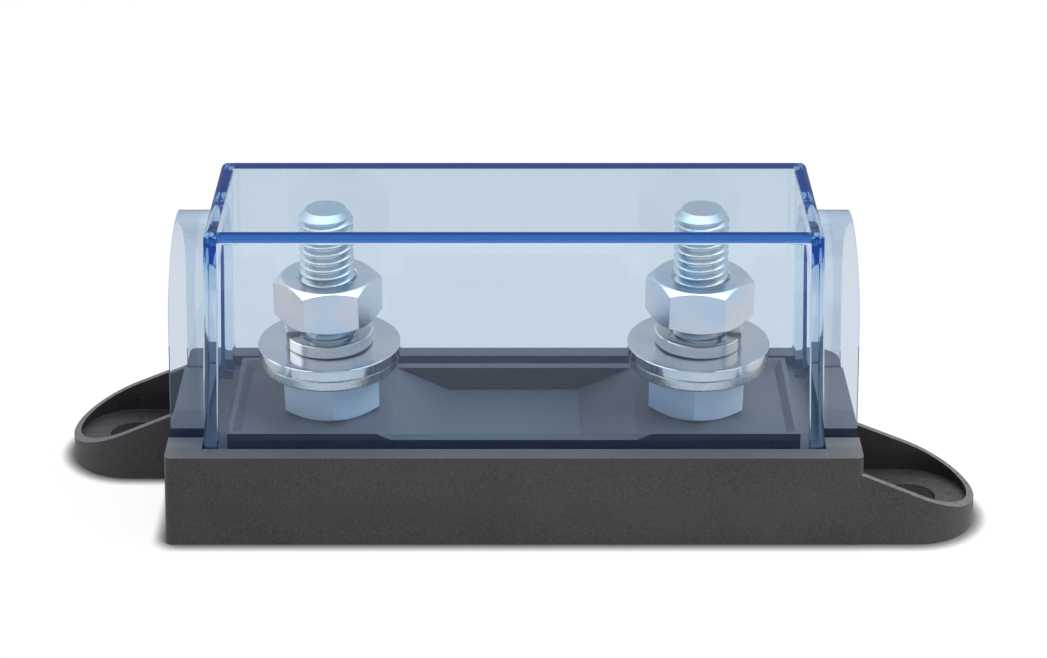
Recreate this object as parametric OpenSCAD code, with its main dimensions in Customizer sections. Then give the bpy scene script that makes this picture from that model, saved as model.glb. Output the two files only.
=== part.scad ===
// Bolt-down fuse holder: a moulded base with two stud terminals under a clear lift-off cover.
// The origin is the centre of the base's foot. X runs along the base, Y towards its back, Z up.

/* [Base] */
// Length of the base at its foot, without the ears
base_l = 124.6; // [122:0.2:134]
// Depth of the base at its foot
base_w = 47.4; // [45:0.2:56]
// Height of the rim above the foot
base_h = 17.2; // [15:0.2:24]
// How far each side of the base leans in from foot to rim
base_draft = 0.6; // [0:0.1:1.2]
// Radius of the sharp upright corners
corner_r = 1.2; // [0.6:0.1:2.5]
// Radius of the one free corner at the back
free_corner_r = 4.5; // [2:0.5:6]

/* [Cover] */
// Length of the cover's box at its foot
cover_l = 110.4; // [106:0.2:112]
// Depth of the cover's box at its foot
cover_w = 38.8; // [37:0.2:40]
// How far the cover's front and back each lean in from foot to top
cover_draft = 2.5; // [0.5:0.1:3]
// How far each end of the cover leans in from foot to top
cover_end_draft = 1.8; // [0.5:0.1:3]
// Thickness of the cover's walls
cover_wall = 2.2; // [1.6:0.1:2.4]
// Thickness of the cover's top
cover_top = 2.2; // [1.6:0.1:2.8]
// Radius of the cover's outer edges
cover_edge_r = 1.2; // [0.8:0.1:2.2]
// Play between the cover and the channel round it
cover_play = 0.2; // [0.1:0.05:0.4]
// Clearance between the cover's top and the bolts' ends
tip_gap = 1.6; // [0.3:0.1:4]

/* [Cable cowls] */
// Outer width of a cowl
cowl_w = 30; // [26:0.5:31]
// Height of the arch's centre above the cover's foot
cowl_spring_h = 23.4; // [16:0.2:24]
// Distance from the end of the base to the cowl's mouth
cowl_inset = 0.9; // [0.2:0.1:1.5]
// Lean of the cowl's mouth in degrees
cowl_lean = 2; // [0:0.5:4]

/* [Channel and tray] */
// Depth of the channel that takes the cover
channel_d = 2; // [1.2:0.1:3]
// Gap between the cover's inner face and the tray
tray_gap = 1.9; // [1:0.1:2.6]
// Height of the lip round each half of the tray
lip_h = 1.2; // [0.4:0.1:1.8]
// Width of that lip at its foot
lip_w = 2.2; // [1:0.1:2.4]
// Length of the recess's flat floor
recess_floor_l = 24.4; // [12:0.2:28]
// Length of each ramp of the recess
recess_ramp_l = 9.8; // [6:0.2:12]
// Depth of the recess
recess_d = 4.6; // [2:0.2:5]
// Width of the tray's edge in front of and behind the recess
recess_edge_w = 1.9; // [1.2:0.1:3]
// Height of the saddle in each cowl above the rim
saddle_h = 0.8; // [0.2:0.1:1.6]
// Gap between the saddle and the cowl's wall
saddle_gap = 0.5; // [0.3:0.1:1.2]

/* [Ears] */
// Distance from the middle of the base to the centre of an ear's round end
ear_x = 72.2; // [70:0.2:80]
// Radius of an ear's round end
ear_r = 11.4; // [10.6:0.1:11.4]
// Distance of an ear's side behind the base's face
ear_set_back = 0.1; // [0.05:0.05:1]
// Thickness of an ear's wall
ear_wall = 1.3; // [1.2:0.1:2]
// Thickness of an ear's floor
ear_floor = 3.6; // [2.4:0.2:4]
// Height of an ear's wall where it meets the base
ear_root_h = 13.4; // [9:0.2:15]
// Height of an ear's wall at its tip
ear_tip_h = 4.4; // [4.2:0.1:6]
// Width of the fixing slot
slot_w = 9; // [5:0.1:10]
// Length of the fixing slot
slot_l = 12.6; // [10.2:0.2:14]
// Distance of the slot's centre inside the ear's centre
slot_set_in = 1.8; // [0:0.2:2]

/* [Terminals] */
// Distance between the two bolts
pitch = 66.9; // [64:0.1:70]
// Diameter of the bolts over the thread
bolt_d = 9.8; // [7.8:0.1:10]
// Height of a bolt's end above the tray
stud_l = 36.4; // [35:0.2:44]
// Distance from the foot up to a bolt's head
head_inset = 0.6; // [0.2:0.1:1]
// Height of the bevel at a bolt's end
bolt_bevel = 1.3; // [0.6:0.1:1.8]
// Height of a bolt's head
head_h = 6.4; // [5:0.1:6.6]
// Distance across the flats of heads and nuts
hex_af = 17; // [15:0.1:17]
// Height of a nut
nut_h = 8; // [6:0.1:8.4]
// Space between the upper nut and the washers below it
nut_gap = 2.7; // [0.3:0.1:3]
// Diameter of the flat washer
flat_washer_d = 25.8; // [20:0.1:27]
// Thickness of the flat washer
flat_washer_h = 2; // [1:0.1:2.4]
// Diameter of the contact washer under the flat washer
contact_washer_d = 25; // [20:0.1:26]
// Thickness of the contact washer
contact_washer_h = 2.2; // [1:0.1:2.4]
// Diameter of the split lock washer
lock_washer_d = 16; // [14:0.1:18]
// Thickness of the lock washer
lock_washer_h = 2.4; // [1.6:0.1:2.6]
// Width of the lock washer's cut
lock_cut_w = 0.9; // [0.5:0.1:1.5]
// Slant of that cut in degrees
lock_cut_slant = 25; // [0:5:35]
// Radial play of a nut on its bolt
thread_play = 0.05; // [0.03:0.01:0.08]
// Radial play of a washer on its bolt
washer_play = 0.35; // [0.2:0.05:0.6]

/* [Underside] */
// Thickness of the base's outer walls below the tray
shell = 3.2; // [2.4:0.2:4]
// Thickness of the ribs
rib = 1.8; // [1.2:0.1:2.4]
// Number of hollows along the underside
columns = 8; // [5:1:9]
// Thickness of plastic left under the recess and the channel
skin = 3; // [2:0.2:4]
// Play round a bolt's head in its pocket
pocket_play = 0.2; // [0.1:0.05:0.4]
// Wall round each bolt's pocket
boss_wall = 2.6; // [2:0.2:3]

/* [Hidden] */
$fn = 64;
eps = 0.01;

rim_l = base_l - 2 * base_draft;
rim_w = base_w - 2 * base_draft;
ear_y = base_w / 2 - ear_set_back - ear_r;
end_x = base_l / 2;

channel_z = base_h - channel_d;
cover_z = channel_z;
cover_h = channel_d + stud_l + tip_gap + cover_top;
cover_lean = cover_draft / cover_h;
cover_end_lean = cover_end_draft / cover_h;
inner_l = cover_l - 2 * cover_wall;
inner_w = cover_w - 2 * cover_wall;
tray_l = inner_l - 2 * tray_gap;
tray_w = inner_w - 2 * tray_gap;
saddle_w = cowl_w - 2 * cover_wall - 2 * saddle_gap;
saddle_x = cover_l / 2 + cover_play;
recess_top_l = recess_floor_l + 2 * recess_ramp_l;

bolt_r = bolt_d / 2;
nut_bore_r = bolt_r + thread_play;
washer_bore_r = bolt_r + washer_play;
hex_r = hex_af / 2 / cos(30);
pocket_r = hex_r + pocket_play;
boss_r = pocket_r + boss_wall;
head_z = head_h + head_inset;
tip_z = base_h + stud_l;
clamp_nut_z = base_h;
contact_z = clamp_nut_z + nut_h;
flat_z = contact_z + contact_washer_h;
lock_z = flat_z + flat_washer_h;
nut_z = lock_z + lock_washer_h + nut_gap;
core_top = base_h - recess_d - skin;
ear_slope = (ear_root_h - ear_tip_h) / (ear_x + ear_r - end_x);
inner_edge_r = cover_edge_r * 0.3;
lip_slope = lip_w * 0.6;
lip_corner_r = 0.4;
bevel_flat_r = hex_af / 2 * 0.96;
bevel_over = 0.5;
plastic = [0.24, 0.24, 0.25];
zinc = [0.78, 0.8, 0.84];

// A block whose sides lean in by `lean` over its height, with upright corners of radius r.
// r holds the corners in the order front left, front right, back right, back left.
module leaning_block(l, w, h, lean, r) {
  hull()
    for (level = [[0, 0], [h - eps, lean]], i = [0 : 3]) {
      sx = [-1, 1, 1, -1][i];
      sy = [-1, -1, 1, 1][i];
      translate([sx * (l / 2 - level[1] - r[i]), sy * (w / 2 - level[1] - r[i]), level[0]])
        cylinder(r = r[i], h = eps, $fn = 32);
    }
}

// The body shared by an ear and its hollow: it leans in with the base and ends in a round.
module ear_body(inset, root_x) {
  side = ear_r - inset;
  translate([ear_x, -ear_y, 0]) cylinder(r1 = side, r2 = side - base_draft, h = base_h);
  translate([root_x, -ear_y, 0]) rotate([90, 0, 90]) linear_extrude(ear_x - root_x)
    polygon([[-side, 0], [side, 0], [side - base_draft, base_h], [base_draft - side, base_h]]);
}

// One walled ear: its wall slopes down to the tip, and a slot goes through its floor.
module ear() {
  inside = 8;
  beyond = 5;
  root_x = end_x - ear_wall - base_draft;
  tip_x = ear_x + ear_r;
  difference() {
    ear_body(0, root_x);
    intersection() {
      ear_body(ear_wall, root_x - 1);
      translate([root_x - 1, -base_w, ear_floor]) cube([base_w, base_w, base_h]);
    }
    translate([0, base_w, 0]) rotate([90, 0, 0]) linear_extrude(2 * base_w)
      polygon([
        [end_x - inside, ear_root_h + inside * ear_slope],
        [end_x - inside, 2 * base_h],
        [tip_x + beyond, 2 * base_h],
        [tip_x + beyond, ear_tip_h - beyond * ear_slope]]);
    translate([0, 0, -1]) linear_extrude(ear_floor + 2) slot_outline();
  }
}

// The fixing slot, centred a little inside the ear's round end.
module slot_outline() {
  half = (slot_l - slot_w) / 2;
  slot_x = ear_x - slot_set_in;
  for (side = [-1, 1]) translate([slot_x + side * half, -ear_y]) circle(d = slot_w);
  translate([slot_x - half, -ear_y - slot_w / 2]) square([2 * half, slot_w]);
}

// Footprint of the channel: a ring round the tray, and a strip each side of the two saddles.
module channel_outline() {
  difference() {
    union() {
      square([cover_l + 2 * cover_play, cover_w + 2 * cover_play], center = true);
      square([base_l + 4, cowl_w + 2 * cover_play], center = true);
    }
    square([tray_l, tray_w], center = true);
    for (side = [-1, 1]) translate([side * (saddle_x + base_l / 4), 0])
      square([base_l / 2, saddle_w], center = true);
  }
}

// The lip along the outside of each half of the tray: it slopes down on its inside and is open at the recess.
module tray_lips() {
  difference() {
    translate([0, 0, base_h - eps]) linear_extrude(lip_h + eps)
      square([tray_l, tray_w], center = true);
    translate([0, 0, base_h])
      leaning_block(tray_l - 2 * lip_w, tray_w - 2 * lip_w, lip_h + eps, -lip_slope,
        [lip_corner_r, lip_corner_r, lip_corner_r, lip_corner_r]);
    recess_prism(tray_w + 2);
  }
}

// The recess's section: a flat floor between two ramps, which go on past the rim.
module recess_prism(w) {
  over = lip_h + 1;
  reach = recess_top_l / 2 + over * recess_ramp_l / recess_d;
  translate([0, w / 2, base_h]) rotate([90, 0, 0]) linear_extrude(w)
    polygon([
      [-recess_floor_l / 2, -recess_d], [recess_floor_l / 2, -recess_d],
      [reach, over], [-reach, over]]);
}

// Hollows of the underside, between the outer walls, the ribs and the two bosses.
module underside_hollows() {
  span = rim_l - 2 * shell;
  depth = rim_w - 2 * shell;
  cell_l = (span - (columns - 1) * rib) / columns;
  cell_w = (depth - 2 * rib) / 3;
  translate([0, 0, -1]) linear_extrude(core_top + 1)
    difference() {
      for (i = [0 : columns - 1], j = [-1 : 1])
        translate([-span / 2 + cell_l / 2 + i * (cell_l + rib), j * (cell_w + rib)])
          square([cell_l, cell_w], center = true);
      for (side = [-1, 1]) translate([side * pitch / 2, 0]) circle(r = boss_r);
    }
}

// The moulded base with its tray, channel, saddles, ears and bolt pockets.
module base() {
  color(plastic)
    difference() {
      union() {
        leaning_block(base_l, base_w, base_h, base_draft,
          [corner_r, corner_r, free_corner_r, corner_r]);
        for (turn = [0, 180]) rotate([0, 0, turn]) ear();
        tray_lips();
        for (side = [-1, 1])
          translate([side * (saddle_x + (rim_l / 2 - saddle_x) / 2), 0, base_h - eps + saddle_h / 2])
            cube([rim_l / 2 - saddle_x, saddle_w, saddle_h + 2 * eps], center = true);
      }
      translate([0, 0, channel_z]) linear_extrude(channel_d + 1) channel_outline();
      recess_prism(tray_w - 2 * recess_edge_w);
      underside_hollows();
      for (side = [-1, 1]) translate([side * pitch / 2, 0, 0]) {
        translate([0, 0, -1]) cylinder(r = pocket_r, h = head_z + 1, $fn = 6);
        cylinder(r = washer_bore_r, h = base_h + 1);
      }
    }
}

// A box that leans in towards its top, with round edges; `inset` makes the space inside the walls.
module cover_box(inset, top_inset, r) {
  l = cover_l / 2 - inset;
  w = cover_w / 2 - inset;
  h = cover_h - top_inset;
  hull()
    for (sx = [-1, 1], sy = [-1, 1]) {
      translate([sx * (l - r), sy * (w - r), -inset]) cylinder(r = r, h = eps, $fn = 32);
      translate([sx * (l - cover_end_lean * h - r), sy * (w - cover_lean * h - r), h - r])
        sphere(r = r, $fn = 32);
    }
}

// The arch of a cowl in the YZ plane, drawn flat with its foot on the X axis.
module arch(w, foot) {
  translate([0, cowl_spring_h]) circle(d = w);
  translate([-w / 2, -foot]) square([w, cowl_spring_h + foot]);
}

// A length of arch from x0 to x1 on the +X side.
module arch_run(w, foot, x0, x1) {
  translate([x0, 0, 0]) rotate([90, 0, 90]) linear_extrude(x1 - x0) arch(w, foot);
}

// The clear cover: a leaning box with an open cable cowl at each end.
module cover() {
  mouth_x = end_x - cowl_inset;
  inner_w_cowl = cowl_w - 2 * cover_wall;
  color([0.7, 0.8, 0.95, 0.35])
    translate([0, 0, cover_z])
      difference() {
        union() {
          cover_box(0, 0, cover_edge_r);
          for (turn = [0, 180]) rotate([0, 0, turn])
            difference() {
              arch_run(cowl_w, 0, cover_l / 2 - cover_end_draft - cover_wall / 2, mouth_x);
              translate([mouth_x, -cowl_w, 0]) rotate([0, -cowl_lean, 0])
                cube([cover_l / 2, 2 * cowl_w, 2 * cover_h]);
            }
        }
        cover_box(cover_wall, cover_top, inner_edge_r);
        for (turn = [0, 180]) rotate([0, 0, turn])
          arch_run(inner_w_cowl, 1, cover_l / 2 - cover_end_draft - 2 * cover_wall, mouth_x + 1);
      }
}

// A turned blank with both faces bevelled at 30 degrees, which rounds the corners of a hexagon.
module bevel_blank(h, both) {
  outer = hex_r + bevel_over;
  drop = (outer - bevel_flat_r) * tan(30);
  rotate_extrude()
    polygon([
      [0, 0], [both ? bevel_flat_r : outer, 0], [outer, both ? drop : 0],
      [outer, h - drop], [bevel_flat_r, h], [0, h]]);
}

// A hexagon nut turned by `angle`, its foot at height z.
module nut(z, angle) {
  color(zinc) translate([0, 0, z]) rotate([0, 0, angle])
    difference() {
      intersection() {
        cylinder(r = hex_r, h = nut_h, $fn = 6);
        bevel_blank(nut_h, true);
      }
      translate([0, 0, -1]) cylinder(r = nut_bore_r, h = nut_h + 2);
    }
}

// A hexagon bolt, head down in its pocket, with a bevelled end.
module bolt() {
  color(zinc) {
    translate([0, 0, head_z]) mirror([0, 0, 1])
      intersection() {
        cylinder(r = hex_r, h = head_h, $fn = 6);
        bevel_blank(head_h, false);
      }
    translate([0, 0, head_z - eps]) cylinder(r = bolt_r, h = tip_z - bolt_bevel - head_z + eps);
    translate([0, 0, tip_z - bolt_bevel])
      cylinder(r1 = bolt_r, r2 = bolt_r - bolt_bevel, h = bolt_bevel);
  }
}

// A plain washer of diameter d and thickness h, its foot at height z.
module washer(z, d, h) {
  color(zinc) translate([0, 0, z])
    difference() {
      cylinder(d = d, h = h);
      translate([0, 0, -1]) cylinder(r = washer_bore_r, h = h + 2);
    }
}

// A split lock washer, its slanted cut at `angle`.
module lock_washer(angle) {
  color(zinc) translate([0, 0, lock_z])
    difference() {
      cylinder(d = lock_washer_d, h = lock_washer_h);
      translate([0, 0, -1]) cylinder(r = washer_bore_r, h = lock_washer_h + 2);
      rotate([0, 0, angle]) translate([lock_washer_d / 3, 0, lock_washer_h / 2])
        rotate([lock_cut_slant, 0, 0])
          cube([lock_washer_d / 2, lock_cut_w, 3 * lock_washer_h], center = true);
    }
}

module contact_washer() { washer(contact_z, contact_washer_d, contact_washer_h); }
module flat_washer() { washer(flat_z, flat_washer_d, flat_washer_h); }
module left() { translate([-pitch / 2, 0, 0]) children(); }
module right() { translate([pitch / 2, 0, 0]) children(); }

base();
cover();
left() bolt();  // left_bolt
left() nut(clamp_nut_z, 36);  // left_clamp_nut
left() contact_washer();  // left_contact_washer
left() flat_washer();  // left_flat_washer
left() lock_washer(200);  // left_lock_washer
left() nut(nut_z, 7);  // left_terminal_nut
right() bolt();  // right_bolt
right() nut(clamp_nut_z, 24);  // right_clamp_nut
right() contact_washer();  // right_contact_washer
right() flat_washer();  // right_flat_washer
right() lock_washer(-20);  // right_lock_washer
right() nut(nut_z, -7);  // right_terminal_nut
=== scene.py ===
from math import cos, hypot, pi, radians, sin, tan

import bmesh
import bpy
from mathutils import Matrix, Vector


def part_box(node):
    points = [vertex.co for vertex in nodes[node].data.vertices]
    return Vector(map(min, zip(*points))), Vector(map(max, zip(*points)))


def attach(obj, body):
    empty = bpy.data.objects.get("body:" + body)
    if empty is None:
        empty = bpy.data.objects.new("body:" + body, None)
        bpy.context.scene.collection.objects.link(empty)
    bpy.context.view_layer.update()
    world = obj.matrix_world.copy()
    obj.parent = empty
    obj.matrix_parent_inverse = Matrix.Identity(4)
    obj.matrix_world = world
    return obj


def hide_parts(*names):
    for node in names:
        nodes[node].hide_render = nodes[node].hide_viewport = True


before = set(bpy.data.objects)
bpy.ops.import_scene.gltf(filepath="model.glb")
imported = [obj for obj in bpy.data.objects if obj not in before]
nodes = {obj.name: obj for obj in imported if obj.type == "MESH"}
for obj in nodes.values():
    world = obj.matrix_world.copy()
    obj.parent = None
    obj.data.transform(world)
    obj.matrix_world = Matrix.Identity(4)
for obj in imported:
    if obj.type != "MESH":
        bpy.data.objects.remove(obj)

# Empty fuse holder under its clear cover: charcoal moulding, zinc plated M10 terminals, blue-tinted lid.
# Everything is in metres. mm turns the sizes below into metres.
mm = 0.001
scene = bpy.context.scene
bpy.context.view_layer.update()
print("frame loaded,", len(nodes), "nodes")


# Shader maths: a wrapped socket takes the plain operators, and each one adds its Math node.
class Signal:
    def __init__(self, tree, socket):
        self.tree = tree
        self.socket = socket

    def maths(self, operation, *values):
        made = self.tree.node("ShaderNodeMath", {"operation": operation}, dict(enumerate(values)))
        return made.out()

    def __add__(self, other): return self.maths("ADD", self, other)
    def __radd__(self, other): return self.maths("ADD", other, self)
    def __sub__(self, other): return self.maths("SUBTRACT", self, other)
    def __rsub__(self, other): return self.maths("SUBTRACT", other, self)
    def __mul__(self, other): return self.maths("MULTIPLY", self, other)
    def __rmul__(self, other): return self.maths("MULTIPLY", other, self)
    def __truediv__(self, other): return self.maths("DIVIDE", self, other)
    def __rtruediv__(self, other): return self.maths("DIVIDE", other, self)
    def __pow__(self, other): return self.maths("POWER", self, other)
    def __neg__(self): return self.maths("MULTIPLY", self, -1)

    def clamped(self): return self.maths("MAXIMUM", self.maths("MINIMUM", self, 1), 0)
    def above(self, level): return self.maths("GREATER_THAN", self, level)
    def larger(self, other): return self.maths("MAXIMUM", self, other)


class Made:
    def __init__(self, tree, node):
        self.tree = tree
        self.node = node

    def out(self, name=0):
        return Signal(self.tree, self.node.outputs[name])


class NodeTree:
    def __init__(self, tree):
        self.tree = tree
        self.tree.nodes.clear()

    def node(self, kind, settings=None, inputs=None):
        node = self.tree.nodes.new(kind)
        for name, value in (settings or {}).items():
            if name == "stops":  # a colour ramp's stops: place and grey level or colour
                ramp = node.color_ramp
                while len(ramp.elements) < len(value):
                    ramp.elements.new(0.5)
                for element, (place, colour) in zip(ramp.elements, value):
                    element.position = place
                    element.color = colour if len(colour) == 4 else (*colour, 1)
            else:
                setattr(node, name, value)
        for name, value in (inputs or {}).items():
            if isinstance(value, Signal):
                self.tree.links.new(value.socket, node.inputs[name])
            elif value is not None:
                node.inputs[name].default_value = value
        return Made(self, node)

    def objectPlace(self):
        return self.node("ShaderNodeTexCoord").out("Object")

    def noise(self, scale, detail=2, roughness=0.5, vector=None):
        vector = vector or self.objectPlace()
        return self.node("ShaderNodeTexNoise", None, {
            "Vector": vector, "Scale": scale, "Detail": detail, "Roughness": roughness}).out("Fac")

    def mixColour(self, factor, a, b):
        mix = self.node("ShaderNodeMix", {"data_type": "RGBA"}, {0: factor, 6: a, 7: b})
        return mix.out(2)


def newMaterial(name):
    material = bpy.data.materials.new(name)
    material.use_nodes = True
    return material, NodeTree(material.node_tree)


def finishMaterial(tree, surface, volume=None):
    tree.node("ShaderNodeOutputMaterial", None, {"Surface": surface, "Volume": volume})


# Camera: fitted to the photo, whose own frame is cut from a larger picture.
camera = {
    "frameWidth": 1047, "frameHeight": 658,  # pixels
    "focal": 2635,  # pixels
    "axisX": 513.9, "axisY": 360.6,  # where the lens axis meets the photo, pixels
    "distance": 481 * mm, "tilt": 26.23, "lookAt": (0, 0, 25 * mm),
}


def makeCamera(c):
    data = bpy.data.cameras.new("camera")
    data.sensor_width = 36
    data.lens = c["focal"] * data.sensor_width / c["frameWidth"]
    data.shift_x = (c["frameWidth"] / 2 - c["axisX"]) / c["frameWidth"]
    data.shift_y = (c["axisY"] - c["frameHeight"] / 2) / c["frameWidth"]
    data.clip_start = 0.01
    data.clip_end = 50
    lens = bpy.data.objects.new("camera", data)
    tilt = radians(c["tilt"])
    back = Vector((0, -cos(tilt), sin(tilt)))
    lens.location = Vector(c["lookAt"]) + back * c["distance"]
    lens.rotation_euler = (pi / 2 - tilt, 0, 0)
    scene.collection.objects.link(lens)
    scene.camera = lens


makeCamera(camera)
print("camera done")


# Light: a large soft box above and softer ones at the sides. They light the surfaces; what shines in metal
# and gloss is the room, which is bright overhead, paler behind and dim in front.
lamps = {
    "overhead": {"place": (0.38, -0.05, 0.72), "size": (0.8, 0.6), "power": 11.0},
    "left": {"place": (-0.75, -0.25, 0.40), "size": (0.5, 0.7), "power": 1.9},
    "right": {"place": (0.75, -0.20, 0.45), "size": (0.5, 0.7), "power": 2.6},
    "front": {"place": (0.0, -0.85, 0.50), "size": (0.8, 0.4), "power": 0.1},
}
room = {
    "level": 0.45, "background": 1.0, "throughGlass": 0.9, "coverSheen": 0.25,
    "dim": 0.25, "bright": 3.5, "back": 0.14, "top": 1.0, "left": 0.60, "right": 0.20,
    "floorSize": 6.0, "floorShow": 0.93, "floorMirror": 0.6, "floorInside": 1.1,
    "paper": 0.80, "shadowPaper": 0.07, "contact": 2.9 * mm,
}


def makeLamps(table):
    for name, lamp in table.items():
        data = bpy.data.lights.new(name, "AREA")
        data.shape = "RECTANGLE"
        data.size, data.size_y = lamp["size"]
        data.energy = lamp["power"]
        light = bpy.data.objects.new(name, data)
        light.visible_glossy = False
        light.visible_transmission = False
        light.location = lamp["place"]
        aim = Vector((0, 0, 0.02)) - light.location
        light.rotation_euler = aim.to_track_quat("-Z", "Y").to_euler()
        scene.collection.objects.link(light)


def glow(tree, kind, level):
    return tree.node(kind, None, {"Color": (1, 1, 1, 1), "Strength": level}).out()


def mixed(tree, factor, a, b):
    return tree.node("ShaderNodeMixShader", None, {0: factor, 1: a, 2: b}).out()


# What each ray finds: the camera's own, one straight through or led along the cover, a reflection seen through
# it, and one in the open. The cover's outer face mirrors a dim room.
def byRay(tree, lit, straight, through, inside, mirrored, sheen):
    path = tree.node("ShaderNodeLightPath")
    outerFace = path.out("Is Singular Ray") * (1 - path.out("Transmission Depth").above(0.5))
    mirrored = mixed(tree, outerFace, mirrored, sheen)
    bounces = path.out("Glossy Depth")
    once = bounces.above(0.5) * (1 - bounces.above(1.5)) * path.out("Transmission Depth").above(2.5)
    seen = mixed(tree, once, through, inside)
    found = mixed(tree, path.out("Is Glossy Ray"), lit, mirrored)
    found = mixed(tree, path.out("Is Transmission Ray"), found, seen)
    return mixed(tree, path.out("Is Camera Ray"), found, straight)


def makeRoom(r):
    world = bpy.data.worlds.new("room")
    world.use_nodes = True
    scene.world = world
    tree = NodeTree(world.node_tree)
    toward = tree.node("ShaderNodeSeparateXYZ", None, {0: tree.objectPlace()})
    x, y, z = (toward.out(axis) for axis in "XYZ")
    share = (y * 0.8 + 0.4).clamped() * r["back"] + ((z - 0.6) * 2.5).clamped() * r["top"]
    share = share + (-x).clamped() * (-x).clamped() * r["left"] + x.clamped() * x.clamped() * r["right"]
    shell = "ShaderNodeBackground"
    mirrored = mixed(tree, share.clamped(), glow(tree, shell, r["dim"]), glow(tree, shell, r["bright"]))
    surface = byRay(tree, glow(tree, shell, r["level"]), glow(tree, shell, r["background"]),
                    glow(tree, shell, r["throughGlass"]), mirrored, mirrored, glow(tree, shell, r["coverSheen"]))
    tree.node("ShaderNodeOutputWorld", None, {"Surface": surface})

    half = r["floorSize"] / 2
    bm = bmesh.new()
    bmesh.ops.create_grid(bm, x_segments=1, y_segments=1, size=half)
    mesh = bpy.data.meshes.new("floor")
    bm.to_mesh(mesh)
    bm.free()
    floor = bpy.data.objects.new("floor", mesh)
    scene.collection.objects.link(floor)
    material, tree = newMaterial("floorPaper")
    paper, dark = (tree.node("ShaderNodeBsdfDiffuse", None, {"Color": (r[shade], r[shade], r[shade], 1)}).out()
                   for shade in ("paper", "shadowPaper"))
    clear = tree.node("ShaderNodeAmbientOcclusion", None, {"Distance": r["contact"]}).out("AO") ** 4
    lamp = "ShaderNodeEmission"
    straight, through = (mixed(tree, clear, dark, mixed(tree, r["floorShow"], paper, glow(tree, lamp, r[level])))
                         for level in ("background", "throughGlass"))
    inside = mixed(tree, clear, dark, glow(tree, lamp, r["floorInside"]))
    mirrored = mixed(tree, 0.7, paper, glow(tree, lamp, r["floorMirror"]))
    finishMaterial(tree, byRay(tree, paper, straight, through, inside, mirrored, glow(tree, lamp, r["coverSheen"])))
    mesh.materials.append(material)


makeLamps(lamps)
makeRoom(room)
print("light and floor done")


# The moulding: charcoal thermoplastic with a fine sparked grain.
moulding = {
    # the light grey after the two grain colours is a painted highlight for the upper edges
    "colour": (0.011, 0.011, 0.012), "paler": (0.032, 0.032, 0.034), "paintedEdgeHighlight": (0.36, 0.36, 0.37),
    # painted light from the cover: the pale bluish colour for upward faces under it, and how far out it reaches
    "paintedCoverLight": (0.084, 0.088, 0.096), "paintedCoverLightReach": 62 * mm,
    "roughness": 0.46, "grain": 0.30,
}


def mouldedPlastic(m):
    material, tree = newMaterial("charcoalMoulding")
    place = tree.objectPlace()
    flow = tree.noise(55, 3, 0.55, place)
    speck = tree.noise(2600, 2, 0.6, place)
    colour = tree.mixColour((flow + (speck - 0.5) * 2.5).clamped(), (*m["colour"], 1), (*m["paler"], 1))
    facing = tree.node("ShaderNodeSeparateXYZ", None, {0: tree.node("ShaderNodeNewGeometry").out("Normal")})
    axis = tree.node("ShaderNodeSeparateXYZ", None, {0: place})
    aside = axis.out("X").maths("ABSOLUTE", axis.out("X"))
    paintedCoverLightMask = facing.out("Z").clamped() * (1 - aside.above(m["paintedCoverLightReach"])) * axis.out("Z").above(8 * mm)
    paintedCoverLightMask = paintedCoverLightMask * (1 - (axis.out("Y") * axis.out("Y")).above((19 * mm) ** 2) * 0.35)
    colour = tree.mixColour(paintedCoverLightMask * (0.7 + speck * 0.6), colour, (*m["paintedCoverLight"], 1))  # painted light: upward faces under the cover get a pale bluish colour, standing in for the light that comes through the blue cover
    edge = tree.node("ShaderNodeAttribute", {"attribute_name": "edge"}).out("Fac")
    up = facing.out("Z").clamped()
    outside = (axis.out("Y") * axis.out("Y")).above((21.5 * mm) ** 2).larger(aside.above(60 * mm))
    turning = (up - 0.2).clamped() * (1 - up) * 3 * outside  # painted highlight on the round of the outer edges, where it faces up
    catching = (edge * up).larger(turning) * (speck * 3 - 0.8).clamped()  # painted highlight: upper edges are lightened, in speckles, where they would catch the light
    colour = tree.mixColour(catching.clamped(), colour, (*m["paintedEdgeHighlight"], 1))
    outward = aside.above(62.4 * mm)
    low = (4.2 * mm - axis.out("Z")).above(0)
    earFloor = outward * low * axis.out("Z").above(3 * mm)  # cast rougher than the rest
    grain = tree.noise(3400, 3, 0.65, place) + tree.noise(900, 2, 0.5, place) * 0.5
    grain = grain + tree.noise(620, 3, 0.6, place) * earFloor * 5
    bump = tree.node("ShaderNodeBump", None, {"Height": grain, "Strength": m["grain"], "Distance": 0.12 * mm})
    rough = (m["roughness"] - 0.05) + speck * 0.1
    skin = tree.node("ShaderNodeBsdfPrincipled", None, {
        "Base Color": colour, "Roughness": rough, "Normal": bump.out(), "IOR": 1.5, "Specular IOR Level": 0.5})
    finishMaterial(tree, skin.out())
    return material


# The cover: clear polycarbonate, pale through a wall and deep blue along it.
cover = {
    "ior": 1.585, "tint": (0.07, 0.435, 0.71), "density": 90, "roughness": 0.0, "shadow": (0.83, 0.90, 0.96),
    "cowlDarkening": (0.85, 0.87, 0.91), "cowlStart": 55.8 * mm,
    # a painted glow inside the plastic: its blue colour and strength
    "paintedGlow": (0.05, 0.30, 1.0), "paintedGlowLevel": 8,
}


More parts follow.
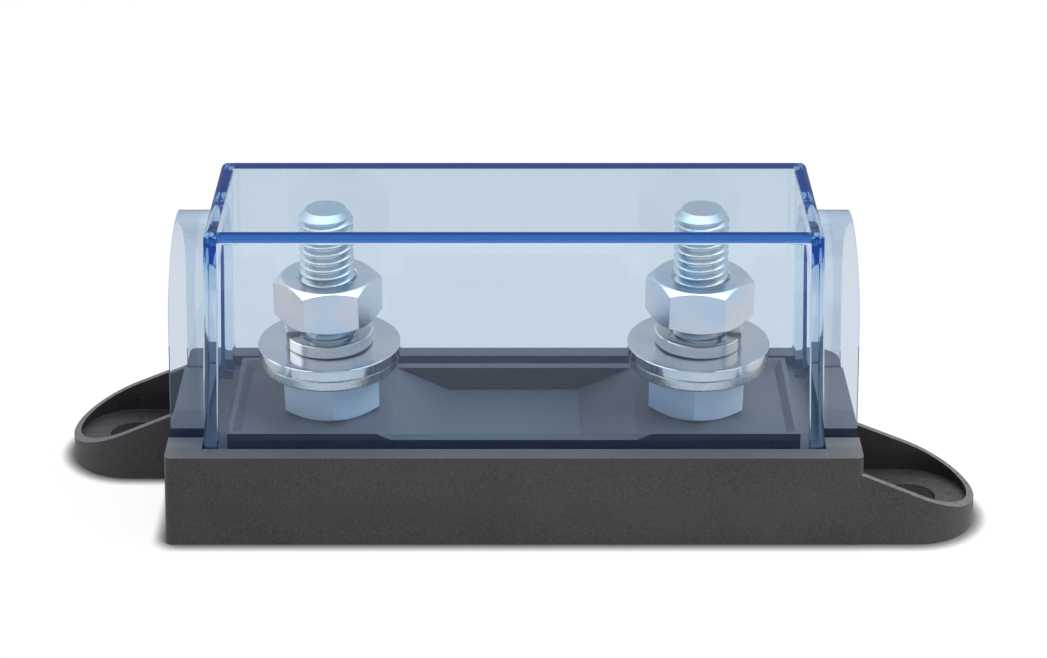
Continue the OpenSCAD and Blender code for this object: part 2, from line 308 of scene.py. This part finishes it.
def clearBlue(c):
    material, tree = newMaterial("clearBlue")
    axis = tree.node("ShaderNodeSeparateXYZ", None, {0: tree.objectPlace()})
    # the cowls get a greyer glass colour than the box past cowlStart, so they come out darker
    cowl = axis.out("X").maths("ABSOLUTE", axis.out("X")).above(c["cowlStart"])
    colour = tree.mixColour(cowl, (1, 1, 1, 1), (*c["cowlDarkening"], 1))
    glass = tree.node("ShaderNodeBsdfPrincipled", None, {
        "Base Color": colour, "Roughness": c["roughness"], "IOR": c["ior"], "Transmission Weight": 1.0})
    passing = tree.node("ShaderNodeBsdfTransparent", None, {"Color": (*c["shadow"], 1)})
    path = tree.node("ShaderNodeLightPath")
    through = path.out("Is Shadow Ray").larger(path.out("Is Diffuse Ray"))
    depth = tree.node("ShaderNodeVolumeAbsorption", None, {"Color": (*c["tint"], 1), "Density": c["density"]})
    # painted glow: the plastic's volume emits blue light, standing in for the light it spreads inside itself, seen
    # where the view runs along a wall
    paintedGlow = tree.node("ShaderNodeEmission", None, {"Color": (*c["paintedGlow"], 1), "Strength": c["paintedGlowLevel"]})
    inside = tree.node("ShaderNodeAddShader", None, {0: depth.out(), 1: paintedGlow.out()})
    finishMaterial(tree, mixed(tree, through, glass.out(), passing.out()), inside.out())
    return material


# Zinc plate: bluish grey with faint warm and violet drifts, and fine scuffs.
zincs = {
    "bolt": {"cool": (0.55, 0.71, 0.80), "warm": (0.66, 0.68, 0.69), "drift": 160, "roughness": 0.20, "scuff": 0.3,
             "bump": 0.7},
    "nut": {"cool": (0.58, 0.67, 0.77), "warm": (0.74, 0.70, 0.72), "drift": 110, "roughness": 0.20, "scuff": 0.3,
            "bump": 0.5},
    "clampNut": {"cool": (0.78, 0.84, 0.94), "warm": (0.82, 0.86, 0.92), "drift": 110, "roughness": 0.42,
                 "scuff": 0.2, "bump": 0.3, "metallic": 0.3},
    "washer": {"cool": (0.60, 0.65, 0.71), "warm": (0.70, 0.69, 0.68), "drift": 90, "roughness": 0.11,
               "scuff": 0.15, "bump": 0.08},
    "stamped": {"cool": (0.62, 0.66, 0.70), "warm": (0.74, 0.73, 0.68), "drift": 260, "roughness": 0.28,
                "scuff": 0.2, "bump": 0.5},
    "spring": {"cool": (0.64, 0.67, 0.71), "warm": (0.70, 0.69, 0.67), "drift": 120, "roughness": 0.14,
               "scuff": 0.15, "bump": 0.08},
}


def zincPlate(name, z, turned=False):
    material, tree = newMaterial(name)
    place = tree.objectPlace()
    drift = tree.noise(z["drift"], 2, 0.5, place)
    tone = tree.node("ShaderNodeValToRGB", {"stops": [(0.38, z["cool"]), (0.58, z["warm"]), (0.75, z["cool"])]},
                     {"Fac": drift})
    fine = tree.noise(2600, 3, 0.65, place)
    rough = z["roughness"] + (fine - 0.5) * z["scuff"] + (drift - 0.5) * 0.12
    height = fine
    if turned:  # lathe marks: rings about each terminal, drawn by distance from its axis
        axis = tree.node("ShaderNodeSeparateXYZ", None, {0: place})
        x = axis.out("X").maths("ABSOLUTE", axis.out("X")) - 33.45 * mm
        y = axis.out("Y")
        radius = (x * x + y * y) ** 0.5
        rings = radius.maths("SINE", radius * (2 * pi / (0.22 * mm)))
        height = fine * 0.5 + rings * 0.2
    bump = tree.node("ShaderNodeBump", None, {"Height": height, "Strength": z["bump"], "Distance": 0.04 * mm})
    metal = tree.node("ShaderNodeBsdfPrincipled", None, {
        "Base Color": tone.out("Color"), "Metallic": z.get("metallic", 1.0), "Roughness": rough, "Normal": bump.out()})
    finishMaterial(tree, metal.out())
    return material


charcoalMoulding = mouldedPlastic(moulding)
clearBlueCover = clearBlue(cover)
zincBolt = zincPlate("zincBolt", zincs["bolt"])
zincNut = zincPlate("zincNut", zincs["nut"])
zincClampNut = zincPlate("zincClampNut", zincs["clampNut"])
zincWasher = zincPlate("zincWasher", zincs["washer"], turned=True)
stampedZinc = zincPlate("stampedZinc", zincs["stamped"])
springSteel = zincPlate("springSteel", zincs["spring"])
print("materials done")


def linkPiece(bm, name, material, body, slot, *replaced):
    mesh = bpy.data.meshes.new(name)
    bm.to_mesh(mesh)
    bm.free()
    mesh.materials.append(material)
    piece = bpy.data.objects.new(name, mesh)
    scene.collection.objects.link(piece)
    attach(piece, body)
    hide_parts(*replaced)
    for node in replaced:
        for place in nodes[node].material_slots:
            place.material = material
    return piece


# Smooth shading that stops at sharp edges; a flat face with only narrow neighbours keeps its own normal.
def shade(bm, angle=13):
    for e in bm.edges:
        e.smooth = len(e.link_faces) == 2 and e.calc_face_angle() < radians(angle)
    areas = {face: face.calc_area() for face in bm.faces}
    for face in bm.faces:
        beside = [f for e in face.edges if e.smooth for f in e.link_faces if f is not face]
        face.smooth = any(areas[f] > 0.25 * areas[face] for f in beside)


def breakEdges(bm, edges, width, segments=2):
    return bmesh.ops.bevel(bm, geom=edges, offset=width, offset_type="OFFSET", affect="EDGES",
                           segments=segments, profile=0.5, material=-1, clamp_overlap=True)


def sharpEdges(bm, angle):
    return [e for e in bm.edges if len(e.link_faces) == 2 and e.calc_face_angle() > radians(angle)]


def cleanSolid(node):
    bm = bmesh.new()
    bm.from_mesh(nodes[node].data)
    bmesh.ops.remove_doubles(bm, verts=bm.verts, dist=0.002 * mm)
    bmesh.ops.dissolve_degenerate(bm, edges=bm.edges, dist=0.002 * mm)
    bmesh.ops.dissolve_limit(bm, angle_limit=radians(0.5), verts=bm.verts, edges=bm.edges)
    return bm


# A clean copy of a solid: doubles merged, flat faces joined, its edges broken by a small round.
def roundedCopy(node, name, material, body, slot, edge, segments=3):
    bm = cleanSolid(node)
    rim = bm.faces.layers.float.new("edge")
    for face in breakEdges(bm, sharpEdges(bm, 32), edge, segments)["faces"]:
        face[rim] = 1
    shade(bm)
    linkPiece(bm, name, material, body, slot, node)


def combine(bm, other, operation):
    made = []
    for part in (bm, other):
        mesh = bpy.data.meshes.new("part")
        bmesh.ops.recalc_face_normals(part, faces=part.faces)
        part.to_mesh(mesh)
        part.free()
        made.append(bpy.data.objects.new("part", mesh))
        scene.collection.objects.link(made[-1])
    cut = made[0].modifiers.new("cut", "BOOLEAN")
    cut.operation = operation
    cut.solver = "EXACT"
    cut.object = made[1]
    result = bmesh.new()
    result.from_mesh(made[0].evaluated_get(bpy.context.evaluated_depsgraph_get()).to_mesh())
    for part in made:
        bpy.data.objects.remove(part)
    bmesh.ops.remove_doubles(result, verts=result.verts, dist=0.001 * mm)
    return result


roundedCopy("base", "mouldedBase", charcoalMoulding, "housing", "moulding", 0.32 * mm)
print("base done")


# The cover: a leaning box with round edges and an arched cowl at each end, both hollow.
lid = {
    "length": 110.4, "depth": 38.8, "height": 42.19, "draft": 2.5, "endDraft": 1.8, "wall": 2.2,
    "round": 1.2, "innerRound": 0.33, "cowlWidth": 30, "archHeight": 23.4, "mouth": 61.4, "mouthLean": 2,
    "archSteps": 72, "rim": 0.25,
}


def leaningBox(c, inset, round):
    bm = bmesh.new()
    bmesh.ops.create_cube(bm, size=2)
    low = -inset
    high = c["height"] - inset
    for v in bm.verts:
        rise = high / c["height"] if v.co.z > 0 else 0
        x = c["length"] / 2 - inset - c["endDraft"] * rise
        y = c["depth"] / 2 - inset - c["draft"] * rise
        v.co = Vector((v.co.x * x, v.co.y * y, high if rise else low))
    edges = [e for e in bm.edges if max(v.co.z for v in e.verts) > low + 1]
    breakEdges(bm, edges, round, 10)
    return bm


def archRun(c, side, width, foot, start, end):
    bm = bmesh.new()
    radius = width / 2
    outline = [(radius, -foot)]
    for i in range(c["archSteps"] + 1):
        turn = pi * i / c["archSteps"]
        outline.append((radius * cos(turn), c["archHeight"] + radius * sin(turn)))
    outline.append((-radius, -foot))
    face = bm.faces.new([bm.verts.new((side * start, y, z)) for y, z in outline])
    run = bmesh.ops.extrude_face_region(bm, geom=[face])
    for v in run["geom"]:
        if isinstance(v, bmesh.types.BMVert):
            v.co.x = side * (end - tan(radians(c["mouthLean"])) * v.co.z)
    return bm


def clearCover(c):
    inner = c["cowlWidth"] - 2 * c["wall"]
    start = c["length"] / 2 - c["endDraft"] - c["wall"] / 2
    bm = leaningBox(c, 0, c["round"])
    hollow = leaningBox(c, c["wall"], c["innerRound"])
    for side in (-1, 1):
        bm = combine(bm, archRun(c, side, c["cowlWidth"], 0, start, c["mouth"]), "UNION")
        hollow = combine(hollow, archRun(c, side, inner, 1, start - 2 * c["wall"], c["mouth"] + 1), "UNION")
    bm = combine(bm, hollow, "DIFFERENCE")
    bmesh.ops.dissolve_limit(bm, angle_limit=radians(0.1), verts=bm.verts, edges=bm.edges)
    breakEdges(bm, [e for e in sharpEdges(bm, 50) if e.is_convex], c["rim"], 2)
    bmesh.ops.scale(bm, vec=(mm, mm, mm), verts=bm.verts)
    bmesh.ops.translate(bm, vec=(0, 0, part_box("cover")[0].z), verts=bm.verts)
    shade(bm)
    linkPiece(bm, "clearCover", clearBlueCover, "cover", "clear_cover", "cover")


clearCover(lid)
print("cover done")


# Bolts: head below, M10 thread above, cut to length and bevelled at the end.
thread = {"pitch": 1.5 * mm, "major": 4.9 * mm, "minor": 4.05 * mm, "crest": 0.13, "turnSteps": 48, "bevel": 1.3 * mm}


def threadedBolt(side, t):
    low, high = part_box(side + "_bolt")
    x = (low.x + high.x) / 2
    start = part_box(side + "_clamp_nut")[0].z + 2 * mm
    top = high.z
    bm = bmesh.new()
    flank = (1 - t["crest"] * 2) / 2
    profile = [(t["major"], 0), (t["major"], t["crest"]), (t["minor"], t["crest"] + flank),
               (t["minor"], 2 * t["crest"] + flank), (t["major"], 1)]
    turns = int((top - start) / t["pitch"]) + 3
    corners = [bm.verts.new((r, 0, z * t["pitch"])) for r, z in profile]
    edges = [bm.edges.new(pair) for pair in zip(corners, corners[1:])]
    bmesh.ops.spin(bm, geom=corners + edges, cent=(0, 0, 0), axis=(0, 0, 1), angle=2 * pi * turns,
                   steps=t["turnSteps"] * turns, dvec=(0, 0, t["pitch"] / t["turnSteps"]), use_merge=False,
                   use_duplicate=False)
    bmesh.ops.remove_doubles(bm, verts=bm.verts, dist=0.01 * mm)
    bmesh.ops.translate(bm, verts=bm.verts, vec=(x, 0, start - 1.5 * t["pitch"]))
    for z, normal in ((start, (0, 0, -1)), (top + 0.6 * mm, (0, 0, 1))):
        whole = bm.verts[:] + bm.edges[:] + bm.faces[:]
        bmesh.ops.bisect_plane(bm, geom=whole, plane_co=(0, 0, z), plane_no=normal, clear_outer=True, dist=1e-7)
    bmesh.ops.holes_fill(bm, edges=[e for e in bm.edges if len(e.link_faces) == 1], sides=0)
    blank = bmesh.new()
    length = top - start + 2 * mm
    bmesh.ops.create_cone(blank, cap_ends=True, segments=96, radius1=t["major"] + mm, radius2=t["major"] + mm,
                          depth=length)
    bmesh.ops.translate(blank, verts=blank.verts, vec=(x, 0, top - length / 2))
    rim = [e for e in blank.edges if all(v.co.z > top - 1e-6 for v in e.verts)]
    breakEdges(blank, rim, t["bevel"] + mm, 1)
    bm = combine(bm, blank, "INTERSECT")
    shade(bm)
    head = cleanSolid(side + "_bolt")
    bmesh.ops.bisect_plane(head, geom=head.verts[:] + head.edges[:] + head.faces[:], plane_co=(0, 0, start + mm),
                           plane_no=(0, 0, 1), clear_outer=True)
    bmesh.ops.holes_fill(head, edges=[e for e in head.edges if len(e.link_faces) == 1], sides=0)
    shade(head)
    shank = bpy.data.meshes.new("shank")
    head.to_mesh(shank)
    head.free()
    bm.from_mesh(shank)
    linkPiece(bm, side + "ThreadedBolt", zincBolt, "housing", "zinc_bolt", side + "_bolt")


# Nuts: hexagons from the solids, with a countersunk bore and softened edges.
def countersunkNut(side, kind, name, material, body):
    node = side + kind
    low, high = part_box(node)
    x = (low.x + high.x) / 2
    bm = cleanSolid(node)
    mouth = [e for e in sharpEdges(bm, 60) if all(hypot(v.co.x - x, v.co.y) < 5.4 * mm for v in e.verts)]
    breakEdges(bm, mouth, 0.55 * mm, 1)
    rest = [e for e in sharpEdges(bm, 20) if min(hypot(v.co.x - x, v.co.y) for v in e.verts) > 6.5 * mm]
    breakEdges(bm, rest, 0.12 * mm, 2)
    shade(bm)
    linkPiece(bm, name, material, body, "zinc_nut", node)


# Washers: a section with broken corners, spun round the terminal's axis.
def spunWasher(node, name, material, body, outer, edge, turn=360, lift=0, startAngle=0, rising=1):
    low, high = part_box(node)
    x = (low.x + high.x) / 2
    inner = 5.25 * mm
    height = high.z - low.z
    section = []
    for r, z, inward, upward in ((inner, 0, 1, 1), (outer, 0, -1, 1), (outer, height, -1, -1), (inner, height, 1, -1)):
        for k in range(3) if (r > inner) == (z > 0) else (2, 1, 0):
            angle = pi / 4 * k
            along, across = edge * (1 - sin(angle)), edge * (1 - cos(angle))
            section.append((r + inward * across, z + upward * along))
    bm = bmesh.new()
    corners = [bm.verts.new((r, 0, z)) for r, z in section]
    face = bm.faces.new(corners)
    steps = int(turn / 3.75)
    whole = turn == 360
    bmesh.ops.spin(bm, geom=[face] + face.edges[:] + corners, cent=(0, 0, 0), axis=(0, 0, rising),
                   angle=radians(turn), steps=steps, dvec=(0, 0, lift / steps), use_merge=whole, use_duplicate=False)
    if whole:
        bmesh.ops.delete(bm, geom=[f for f in bm.faces if len(f.verts) > 4], context="FACES_ONLY")
        bmesh.ops.remove_doubles(bm, verts=bm.verts, dist=0.002 * mm)
    bmesh.ops.recalc_face_normals(bm, faces=bm.faces)
    bmesh.ops.rotate(bm, verts=bm.verts, cent=(0, 0, 0), matrix=Matrix.Rotation(radians(startAngle), 3, "Z"))
    bmesh.ops.translate(bm, verts=bm.verts, vec=(x, 0, low.z))
    shade(bm)
    linkPiece(bm, name, material, body, "spring_steel" if lift else "zinc_washer", node)


washers = {"contact": 12.5 * mm, "flat": 12.9 * mm, "lock": 8 * mm, "gap": 9, "lift": 0.9 * mm}
for side, angle, rising in (("left", 211, 1), ("right", -31, -1)):
    threadedBolt(side, thread)
    spunWasher(side + "_contact_washer", side + "ContactWasher", stampedZinc, "housing", washers["contact"], 0.35 * mm)
    spunWasher(side + "_flat_washer", side + "FlatWasher", zincWasher, side + "_washers", washers["flat"], 0.15 * mm)
    spunWasher(side + "_lock_washer", side + "SplitWasher", springSteel, side + "_washers", washers["lock"],
               0.3 * mm, 360 - washers["gap"], washers["lift"], angle, rising)
    countersunkNut(side, "_clamp_nut", side + "ClampNut", zincClampNut, "housing")
    countersunkNut(side, "_terminal_nut", side + "TerminalNut", zincNut, side + "_nut")
print("terminals done")

scene.view_settings.view_transform = "Standard"
scene.cycles.max_bounces = 32
scene.cycles.transmission_bounces = 32
scene.cycles.glossy_bounces = 16
scene.cycles.transparent_max_bounces = 24
